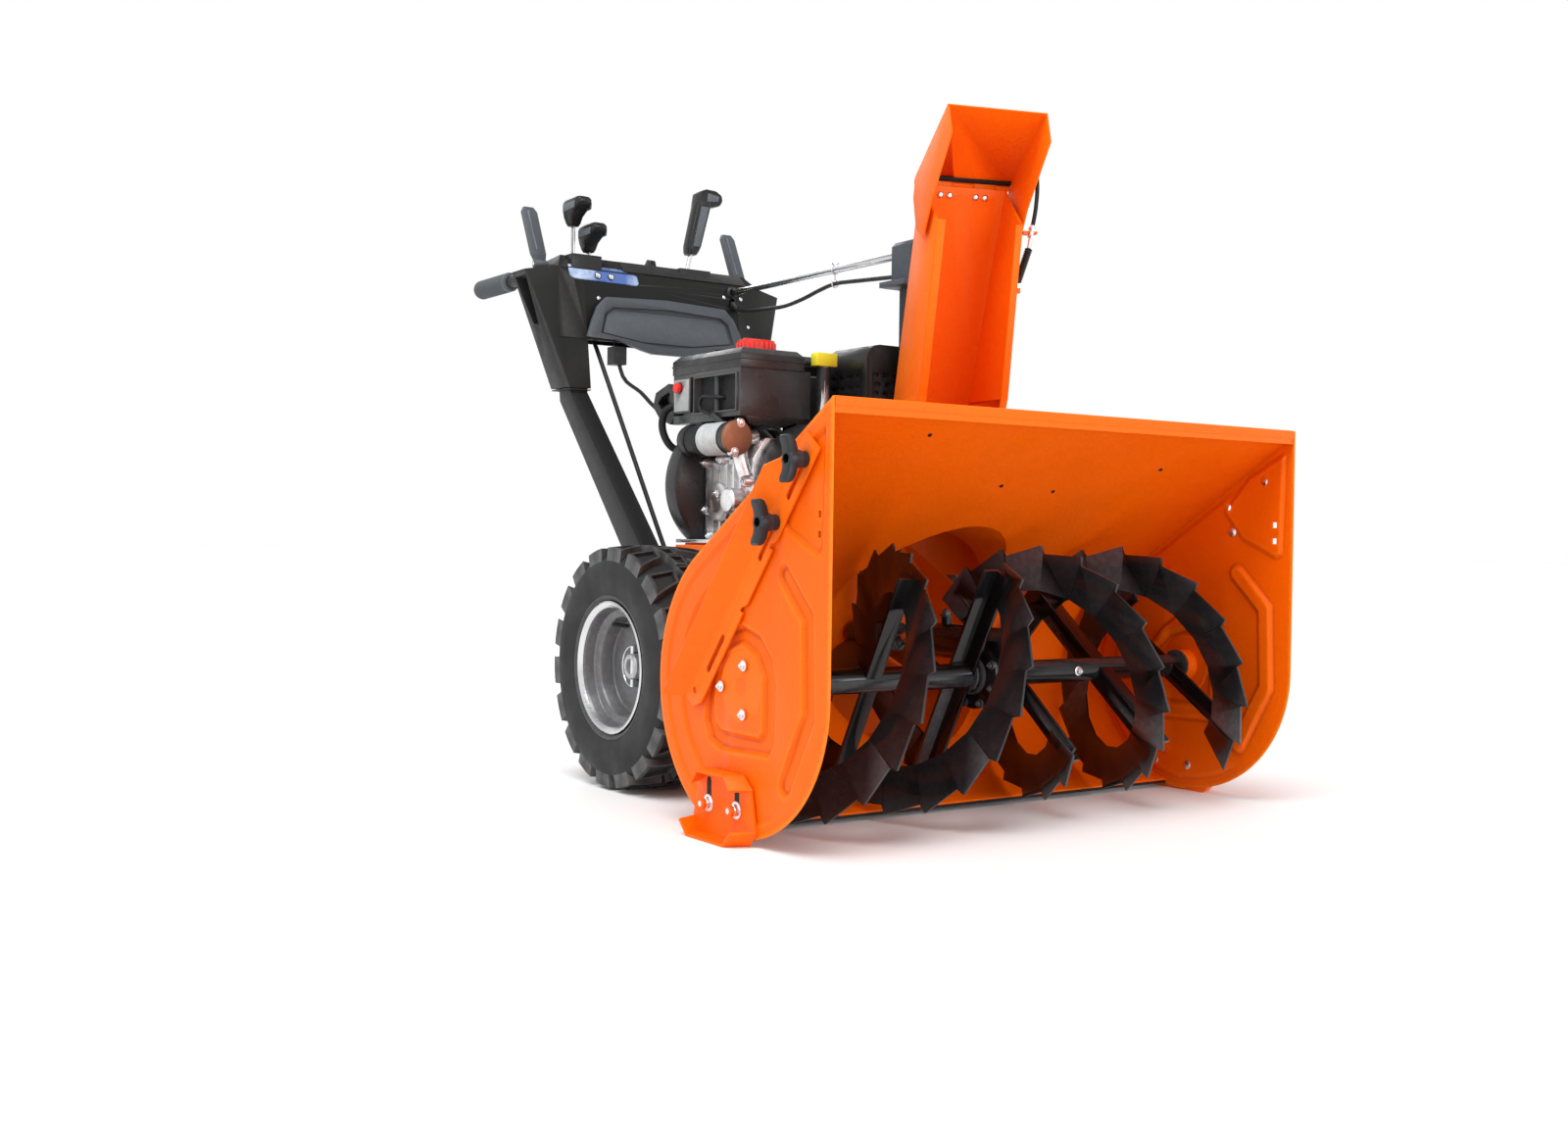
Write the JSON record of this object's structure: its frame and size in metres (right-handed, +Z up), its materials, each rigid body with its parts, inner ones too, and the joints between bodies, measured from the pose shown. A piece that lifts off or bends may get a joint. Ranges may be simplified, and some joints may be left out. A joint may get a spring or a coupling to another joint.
{
  "type": "two-stage snowblower",
  "caption": "Walk-behind petrol snowblower: a toothed auger feeds an impeller that throws snow out of a turning chute with a tilting deflector.",
  "frame": {"origin": "middle of the footprint's bounding box, on the ground", "axes": "+Y from the auger towards the handles, +Z up, +X to the left of someone standing at the handles"},
  "size_m": [0.9952, 1.56, 1.161],
  "materials": {
    "orange_paint": "satin powder coat",
    "black_paint": "gloss paint",
    "frame_paint": "satin paint",
    "black_plastic": "fine grain",
    "grey_plastic": "fine grain",
    "casting": "as cast",
    "bright_steel": "turned and plated",
    "rim_paint": "satin grey paint",
    "tyre_rubber": "moulded",
    "soft_rubber": "smooth",
    "red_plastic": "gloss",
    "yellow_plastic": "gloss",
    "clear_lens": "clear moulded lens"
  },
  "bodies": {
    "machine": {"housing_shell": "orange_paint", "side_panel_left": "orange_paint", "side_panel_right": "orange_paint", "scraper_blade": "frame_paint", "skid_shoe_left": "orange_paint", "skid_shoe_right": "orange_paint", "impeller_drum": "orange_paint", "gear_case": "black_paint", "drive_belt": "soft_rubber", "belt_cover": "black_plastic", "engine_block": "casting", "starter_motor": "casting", "heater_box": "black_plastic", "fuel_tank": "black_plastic", "recoil_cover": "black_plastic", "muffler_guard": "black_paint", "tractor_frame": "orange_paint", "axle": "bright_steel", "chute_gear_post": "grey_plastic", "chute_gearbox": "grey_plastic", "handlebar_left": "frame_paint", "handlebar_right": "frame_paint", "console_shell": "black_plastic", "headlight": "clear_lens", "console_bezel": "grey_plastic", "handle_grip_left": "grey_plastic", "handle_grip_right": "grey_plastic", "clutch_cable_left": "soft_rubber", "clutch_cable_right": "soft_rubber", "wiring_harness": "soft_rubber", "deflector_cable": "soft_rubber"},
    "auger": {"auger_shaft": "bright_steel", "auger_rake_left": "black_paint", "auger_rake_right": "black_paint"},
    "impeller": {"impeller": "black_paint", "impeller_shaft": "bright_steel"},
    "crankshaft": {"crankshaft": "bright_steel"},
    "wheel_left": {"tyre_left": "tyre_rubber", "rim_left": "rim_paint"},
    "wheel_right": {"tyre_right": "tyre_rubber", "rim_right": "rim_paint"},
    "chute": {"chute_spout": "orange_paint"},
    "deflector": {"chute_deflector": "orange_paint"},
    "chute_pinion": {"chute_pinion": "bright_steel"},
    "chute_rod": {"chute_rod": "bright_steel"},
    "chute_lever": {"chute_lever": "black_plastic"},
    "deflector_lever": {"deflector_lever": "black_plastic"},
    "speed_lever": {"speed_lever": "black_plastic"},
    "clutch_lever_left": {"clutch_lever_left": "grey_plastic"},
    "clutch_lever_right": {"clutch_lever_right": "grey_plastic"},
    "fuel_cap": {"fuel_cap": "red_plastic"},
    "dipstick": {"dipstick": "yellow_plastic"},
    "stop_switch": {"stop_switch": "red_plastic"},
    "recoil_handle": {"recoil_handle": "black_plastic"},
    "drift_cutter_left": {"drift_cutter_left": "orange_paint"},
    "drift_cutter_right": {"drift_cutter_right": "orange_paint"},
    "cutter_knob_left_1": {"cutter_knob_left_1": "black_plastic"},
    "cutter_knob_left_2": {"cutter_knob_left_2": "black_plastic"},
    "cutter_knob_right_1": {"cutter_knob_right_1": "black_plastic"},
    "cutter_knob_right_2": {"cutter_knob_right_2": "black_plastic"}
  },
  "joints": [
    {"name": "auger_spin", "type": "hinge", "parent": "machine", "child": "auger", "pos_m": [0, -0.57, 0.216], "axis": [1, 0, 0], "continuous": true},
    {"name": "impeller_spin", "type": "hinge", "parent": "machine", "child": "impeller", "pos_m": [0, -0.294, 0.262], "axis": [0, 1, 0], "continuous": true},
    {"name": "crank_spin", "type": "hinge", "parent": "machine", "child": "crankshaft", "pos_m": [-0.035, -0.05, 0.525], "axis": [0, 1, 0], "continuous": true},
    {"name": "wheel_left_spin", "type": "hinge", "parent": "machine", "child": "wheel_left", "pos_m": [-0.3225, -0.081, 0.204], "axis": [1, 0, 0], "continuous": true},
    {"name": "wheel_right_spin", "type": "hinge", "parent": "machine", "child": "wheel_right", "pos_m": [0.3225, -0.081, 0.204], "axis": [1, 0, 0], "continuous": true},
    {"name": "chute_rotate", "type": "hinge", "parent": "machine", "child": "chute", "pos_m": [0.088, -0.327, 0.5], "axis": [0, 0, 1], "range_deg": [-70, 100]},
    {"name": "chute_pinion_turn", "type": "hinge", "parent": "machine", "child": "chute_pinion", "pos_m": [0.132, -0.2187, 0.6], "axis": [0, 0, 1], "range_deg": [-461, 323]},
    {"name": "chute_rod_turn", "type": "hinge", "parent": "machine", "child": "chute_rod", "pos_m": [0.124, -0.2, 0.928], "axis": [0.0743, 0.997, 0.0207], "range_deg": [-36, 51]},
    {"name": "chute_lever_tilt", "type": "hinge", "parent": "machine", "child": "chute_lever", "pos_m": [0.077, 0.488, 0.945], "axis": [0, 1, 0], "range_deg": [-16, 23]},
    {"name": "deflector_tilt", "type": "hinge", "parent": "chute", "child": "deflector", "pos_m": [0.05373, -0.42942, 1.002], "axis": [0.9483, -0.3173, 0], "range_deg": [-35, 15]},
    {"name": "deflector_lever_tilt", "type": "hinge", "parent": "machine", "child": "deflector_lever", "pos_m": [-0.156, 0.47, 0.942], "axis": [1, 0, 0], "range_deg": [-18, 8]},
    {"name": "speed_lever_shift", "type": "hinge", "parent": "machine", "child": "speed_lever", "pos_m": [-0.191, 0.47, 0.942], "axis": [1, 0, 0], "range_deg": [-14, 14]},
    {"name": "clutch_left_squeeze", "type": "hinge", "parent": "machine", "child": "clutch_lever_left", "pos_m": [-0.24, 0.517, 0.967], "axis": [-1, 0, 0], "range_deg": [0, 58], "stiffness_Nm_per_rad": 1.2, "springref_deg": -14.32},
    {"name": "clutch_right_squeeze", "type": "hinge", "parent": "machine", "child": "clutch_lever_right", "pos_m": [0.24, 0.517, 0.967], "axis": [-1, 0, 0], "range_deg": [0, 58], "stiffness_Nm_per_rad": 1.2, "springref_deg": -14.32},
    {"name": "fuel_cap_turn", "type": "hinge", "parent": "machine", "child": "fuel_cap", "pos_m": [-0.078, -0.028, 0.76], "axis": [0, 0, 1], "range_deg": [0, 180]},
    {"name": "dipstick_pull", "type": "slide", "parent": "machine", "child": "dipstick", "axis": [0, -0.0385, 0.9993], "range_m": [0, 0.12]},
    {"name": "stop_switch_turn", "type": "hinge", "parent": "machine", "child": "stop_switch", "pos_m": [-0.178, 0.065, 0.69], "axis": [1, 0, 0], "range_deg": [0, 90]},
    {"name": "recoil_pull", "type": "slide", "parent": "machine", "child": "recoil_handle", "axis": [0, 1, 0], "range_m": [0, 0.09], "stiffness_N_per_m": 20, "springref_m": -0.2},
    {"name": "drift_cutter_left_lift", "type": "slide", "parent": "machine", "child": "drift_cutter_left", "axis": [0, -0.6216, 0.7833], "range_m": [0, 0.058]},
    {"name": "drift_cutter_right_lift", "type": "slide", "parent": "machine", "child": "drift_cutter_right", "axis": [0, -0.6216, 0.7833], "range_m": [0, 0.058]},
    {"name": "cutter_knob_left_1_turn", "type": "hinge", "parent": "machine", "child": "cutter_knob_left_1", "pos_m": [-0.475, -0.726, 0.525], "axis": [1, 0, 0], "range_deg": [0, 180]},
    {"name": "cutter_knob_left_2_turn", "type": "hinge", "parent": "machine", "child": "cutter_knob_left_2", "pos_m": [-0.475, -0.661, 0.443], "axis": [1, 0, 0], "range_deg": [0, 180]},
    {"name": "cutter_knob_right_1_turn", "type": "hinge", "parent": "machine", "child": "cutter_knob_right_1", "pos_m": [0.475, -0.726, 0.525], "axis": [1, 0, 0], "range_deg": [0, 180]},
    {"name": "cutter_knob_right_2_turn", "type": "hinge", "parent": "machine", "child": "cutter_knob_right_2", "pos_m": [0.475, -0.661, 0.443], "axis": [1, 0, 0], "range_deg": [0, 180]}
  ],
  "couplings": [
    {"joint": "impeller_spin", "follows": "auger_spin", "ratio": -10},
    {"joint": "chute_pinion_turn", "follows": "chute_rotate", "ratio": -4.6},
    {"joint": "chute_rod_turn", "follows": "chute_rotate", "ratio": 0.5},
    {"joint": "chute_lever_tilt", "follows": "chute_rotate", "ratio": 0.22},
    {"joint": "deflector_lever_tilt", "follows": "deflector_tilt", "ratio": 0.5}
  ]
}
